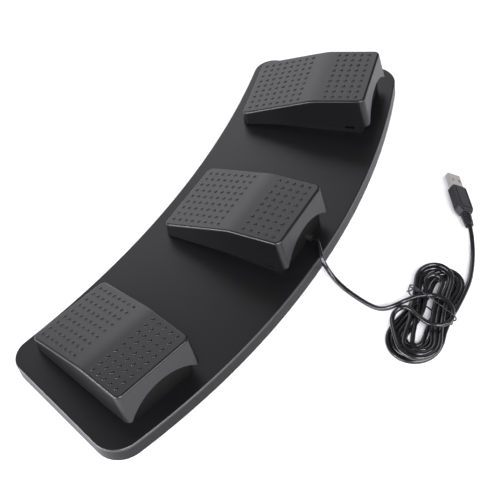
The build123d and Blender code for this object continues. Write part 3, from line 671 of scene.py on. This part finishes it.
vector = "NodeSocketVector"
whole = "NodeSocketInt"
stud_group, entry, result = geometry_group(
    "tread_studs",
    [
        ("Heel Columns", whole),
        ("Toe Columns", whole),
        ("Rows Across", whole),
        ("Pitch Along", number),
        ("Pitch Across", number),
        ("Stud Radius", number),
        ("Stud Height", number),
        ("Heel Place", vector),
        ("Heel Slope", vector),
        ("Toe Place", vector),
        ("Toe Slope", vector),
        ("Finish", "NodeSocketMaterial"),
    ],
)
nodes, links = stud_group.nodes, stud_group.links


def stud_math(operation, first, second):
    """A Math node of the studs' tree, each input a socket or a number."""
    node = nodes.new("ShaderNodeMath")
    node.operation = operation
    for socket, value in zip(node.inputs, (first, second)):
        if isinstance(value, (int, float)):
            socket.default_value = value
        else:
            links.new(value, socket)
    return node.outputs[0]


ball = nodes.new("GeometryNodeMeshUVSphere")
ball.inputs["Segments"].default_value = ball_segments
ball.inputs["Rings"].default_value = ball_rings
ball.inputs["Radius"].default_value = 1.0
position = nodes.new("GeometryNodeInputPosition")
axes = nodes.new("ShaderNodeSeparateXYZ")
links.new(position.outputs[0], axes.inputs[0])
buried = nodes.new("GeometryNodeDeleteGeometry")
below = nodes.new("FunctionNodeCompare")
below.operation = "LESS_THAN"
below.inputs["B"].default_value = ball_cut
links.new(axes.outputs["Z"], below.inputs["A"])
links.new(ball.outputs["Mesh"], buried.inputs["Geometry"])
links.new(below.outputs["Result"], buried.inputs["Selection"])
stud_size = nodes.new("ShaderNodeCombineXYZ")
links.new(entry.outputs["Stud Radius"], stud_size.inputs["X"])
links.new(entry.outputs["Stud Radius"], stud_size.inputs["Y"])
links.new(entry.outputs["Stud Height"], stud_size.inputs["Z"])
dome = nodes.new("GeometryNodeTransform")
links.new(buried.outputs["Geometry"], dome.inputs["Geometry"])
links.new(stud_size.outputs[0], dome.inputs["Scale"])
joined = nodes.new("GeometryNodeJoinGeometry")
for field in ("Heel", "Toe"):
    grid = nodes.new("GeometryNodeMeshGrid")
    across = stud_math("SUBTRACT", entry.outputs["Rows Across"], 1)
    along = stud_math("SUBTRACT", entry.outputs[f"{field} Columns"], 1)
    links.new(stud_math("MULTIPLY", across, entry.outputs["Pitch Across"]), grid.inputs["Size X"])
    links.new(stud_math("MULTIPLY", along, entry.outputs["Pitch Along"]), grid.inputs["Size Y"])
    links.new(entry.outputs["Rows Across"], grid.inputs["Vertices X"])
    links.new(entry.outputs[f"{field} Columns"], grid.inputs["Vertices Y"])
    laid = nodes.new("GeometryNodeTransform")
    links.new(grid.outputs["Mesh"], laid.inputs["Geometry"])
    links.new(entry.outputs[f"{field} Place"], laid.inputs["Translation"])
    links.new(entry.outputs[f"{field} Slope"], laid.inputs["Rotation"])
    planted = nodes.new("GeometryNodeInstanceOnPoints")
    links.new(laid.outputs["Geometry"], planted.inputs["Points"])
    links.new(dome.outputs["Geometry"], planted.inputs["Instance"])
    links.new(entry.outputs[f"{field} Slope"], planted.inputs["Rotation"])
    links.new(planted.outputs["Instances"], joined.inputs[0])
real = nodes.new("GeometryNodeRealizeInstances")
finished = nodes.new("GeometryNodeSetMaterial")
smooth = nodes.new("GeometryNodeSetShadeSmooth")
links.new(joined.outputs[0], real.inputs[0])
links.new(real.outputs[0], smooth.inputs["Geometry"])
links.new(smooth.outputs[0], finished.inputs["Geometry"])
links.new(entry.outputs["Finish"], finished.inputs["Material"])
links.new(finished.outputs[0], result.inputs["Geometry"])


def grown(name, group, values, place):
    """The plain mesh that a geometry tree makes with these inputs, moved to its place."""
    seed = bpy.data.objects.new(name, bpy.data.meshes.new(name + "_seed"))
    scene.collection.objects.link(seed)
    modifier = seed.modifiers.new("growth", "NODES")
    modifier.node_group = group
    items = group.interface.items_tree
    sockets = {item.name: item.identifier for item in items if item.in_out == "INPUT"}
    for socket, value in values.items():
        modifier[sockets[socket]] = value
    seen = bpy.context.evaluated_depsgraph_get()
    mesh = bpy.data.meshes.new_from_object(seed.evaluated_get(seen))
    seed.modifiers.remove(modifier)
    mesh.transform(place)
    mesh.name = name
    seed.data = mesh
    return seed


heel_slope = math.atan2(bend_height - heel_height, bend_reach)
toe_slope = math.atan2(toe_height - bend_height, pedal_length - bend_reach)
heel_middle = heel_margin + (heel_columns - 1) * pitch_along / 2
toe_middle = toe_margin + (toe_columns - 1) * pitch_along / 2
stud_values = {
    "Heel Columns": heel_columns,
    "Toe Columns": toe_columns,
    "Rows Across": rows_across,
    "Pitch Along": pitch_along,
    "Pitch Across": pitch_across,
    "Stud Radius": stud_radius,
    "Stud Height": stud_height,
    "Heel Place": (
        0.0,
        heel_middle * math.cos(heel_slope) - pedal_length,
        heel_height + heel_middle * math.sin(heel_slope),
    ),
    "Heel Slope": (heel_slope, 0.0, 0.0),
    "Toe Place": (
        0.0,
        -toe_middle * math.cos(toe_slope),
        toe_height - toe_middle * math.sin(toe_slope),
    ),
    "Toe Slope": (toe_slope, 0.0, 0.0),
    "Finish": cover_skin,
}
for side in sides:
    studs = grown(f"tread_studs_{side}", stud_group, stud_values, pedal_frames[side])
    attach(studs, f"pedal_{side}")

# ---------------------------------------------------------------------------------------
# Studio: a plain pale floor, a large soft box over the far side, a low long one at the left,
# one over the right and one over the camera's side, in an even pale surround.
floor_reach = 6.0
floor_drop = 0.0002
floor_mesh = bpy.data.meshes.new("studio_floor")
shape = bmesh.new()
bmesh.ops.create_grid(shape, x_segments=8, y_segments=8, size=floor_reach)
shape.to_mesh(floor_mesh)
shape.free()
floor = bpy.data.objects.new("studio_floor", floor_mesh)
floor.location.z = -floor_drop
scene.collection.objects.link(floor)
floor_mesh.materials.append(
    moulded(
        "pale_floor",
        dark=(0.93, 0.93, 0.93),
        pale=(0.96, 0.96, 0.96),
        grain_scale=400.0,
        amount=0.3,
        roughness=0.7,
        spread=0.05,
        depth=0.00001,
        mottle=3.0,
    )
)


def soft_light(name, place, aim, width, height, power):
    """An upright soft box that hangs at a place and faces a point."""
    lamp_data = bpy.data.lights.new(name, "AREA")
    lamp_data.shape = "RECTANGLE"
    lamp_data.size = width
    lamp_data.size_y = height
    lamp_data.energy = power
    lamp_data.color = (1.0, 0.985, 1.04)
    lamp = bpy.data.objects.new(name, lamp_data)
    lamp.location = place
    lamp.rotation_euler = (Vector(aim) - Vector(place)).to_track_quat("-Z", "Y").to_euler()
    scene.collection.objects.link(lamp)


soft_light(
    "far_side_box",
    place=(-1.25, -1.4, 1.0),
    aim=(0.0, 0.0, 0.1),
    width=1.7,
    height=1.5,
    power=14.0,
)
soft_light(
    "left_box",
    place=(1.25, -0.8, 0.5),
    aim=(0.0, 0.0, 0.0),
    width=1.5,
    height=0.16,
    power=34.0,
)
soft_light(
    "right_box",
    place=(0.3, 1.45, 0.98),
    aim=(0.0, 0.0, 0.0),
    width=1.6,
    height=0.5,
    power=26.0,
)
soft_light(
    "camera_side_box",
    place=(1.3, 1.1, 1.9),
    aim=(0.0, 0.0, 0.0),
    width=1.0,
    height=1.0,
    power=60.0,
)
surround = bpy.data.worlds.new("pale_surround")
surround.use_nodes = True
surround.node_tree.nodes["Background"].inputs["Color"].default_value = (1.0, 1.0, 1.0, 1.0)
surround.node_tree.nodes["Background"].inputs["Strength"].default_value = 0.2
scene.world = surround
scene.view_settings.view_transform = "Standard"
